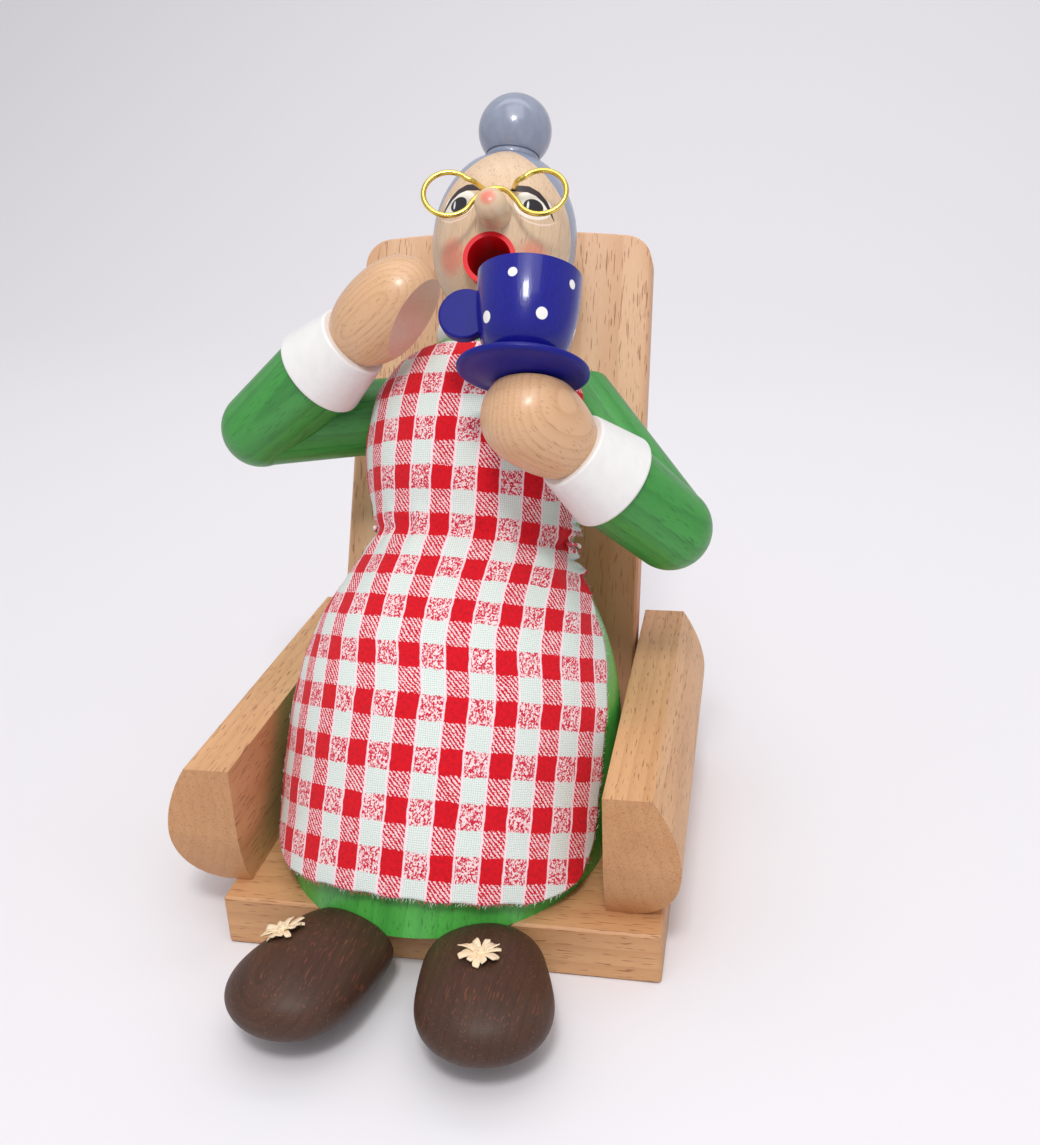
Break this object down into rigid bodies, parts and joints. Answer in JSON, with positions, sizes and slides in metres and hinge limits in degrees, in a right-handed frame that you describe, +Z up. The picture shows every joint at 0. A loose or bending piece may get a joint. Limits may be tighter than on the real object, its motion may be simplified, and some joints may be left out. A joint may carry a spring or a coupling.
{
  "type": "german incense smoker",
  "caption": "Turned-wood grandmother incense smoker reclining in a beech armchair with cup and saucer; the upper figure lifts off over the cone.",
  "frame": {"origin": "middle of the seat board's flat underside", "axes": "+Z up, -Y towards the viewer that the figure faces, +X to that viewer's right"},
  "size_m": [0.1071, 0.1566, 0.1568],
  "materials": {
    "beech": "oiled natural beech",
    "dowel_wood": "plain turned dowel",
    "green_stain": "green stain, satin lacquer, grain showing",
    "wood_curl": "raw pale shaving",
    "brown_stain": "dark brown stain, satin",
    "skin_beech": "natural beech, clear satin lacquer",
    "white_paint": "white satin paint on turned wood",
    "hair_grey": "grey-blue gloss paint on turned wood",
    "red_paint": "red gloss paint on turned wood",
    "brass_wire": "bright drawn wire",
    "steel_plate": "plain tinned sheet",
    "blue_lacquer": "dark blue gloss paint on turned wood, white dots on the cup",
    "gingham": "red and white checked woven cotton, raw edges"
  },
  "bodies": {
    "chair_and_lower_figure": {"seat_board": "beech", "armrest_left": "beech", "armrest_right": "beech", "backrest_board": "beech", "skirt": "green_stain", "cone_plate": "steel_plate", "cone_plate_nail": "steel_plate", "seat_dowel": "dowel_wood", "shoe_left": "brown_stain", "shoe_right": "brown_stain", "shoe_flower_left": "wood_curl", "shoe_flower_right": "wood_curl", "foot_dowel_left": "dowel_wood", "foot_dowel_right": "dowel_wood", "armrest_dowel_left_front": "dowel_wood", "armrest_dowel_left_rear": "dowel_wood", "armrest_dowel_right_front": "dowel_wood", "armrest_dowel_right_rear": "dowel_wood", "back_dowel_left": "dowel_wood", "back_dowel_right": "dowel_wood", "side_dowel_left": "dowel_wood", "side_dowel_right": "dowel_wood"},
    "upper_figure": {"torso": "green_stain", "collar": "white_paint", "head": "skin_beech", "mouth_ring": "red_paint", "nose": "skin_beech", "glasses": "brass_wire", "bun_ring": "hair_grey", "hair_bun": "hair_grey", "bun_dowel": "dowel_wood", "upper_arm_left": "green_stain", "upper_arm_right": "green_stain", "forearm_left": "green_stain", "forearm_right": "green_stain", "cuff_left": "white_paint", "cuff_right": "white_paint", "hand_left": "skin_beech", "hand_right": "skin_beech", "shoulder_dowel_left": "dowel_wood", "shoulder_dowel_right": "dowel_wood", "elbow_dowel_left": "dowel_wood", "elbow_dowel_right": "dowel_wood", "wrist_dowel_left": "dowel_wood", "wrist_dowel_right": "dowel_wood", "saucer": "blue_lacquer", "cup": "blue_lacquer", "cup_handle": "blue_lacquer", "cup_peg": "dowel_wood", "apron": "gingham", "apron_tie": "gingham"}
  },
  "joints": [
    {"name": "figure_lift", "type": "slide", "parent": "chair_and_lower_figure", "child": "upper_figure", "axis": [0.0401, 0.4536, 0.8903], "range_m": [0, 0.05]}
  ]
}
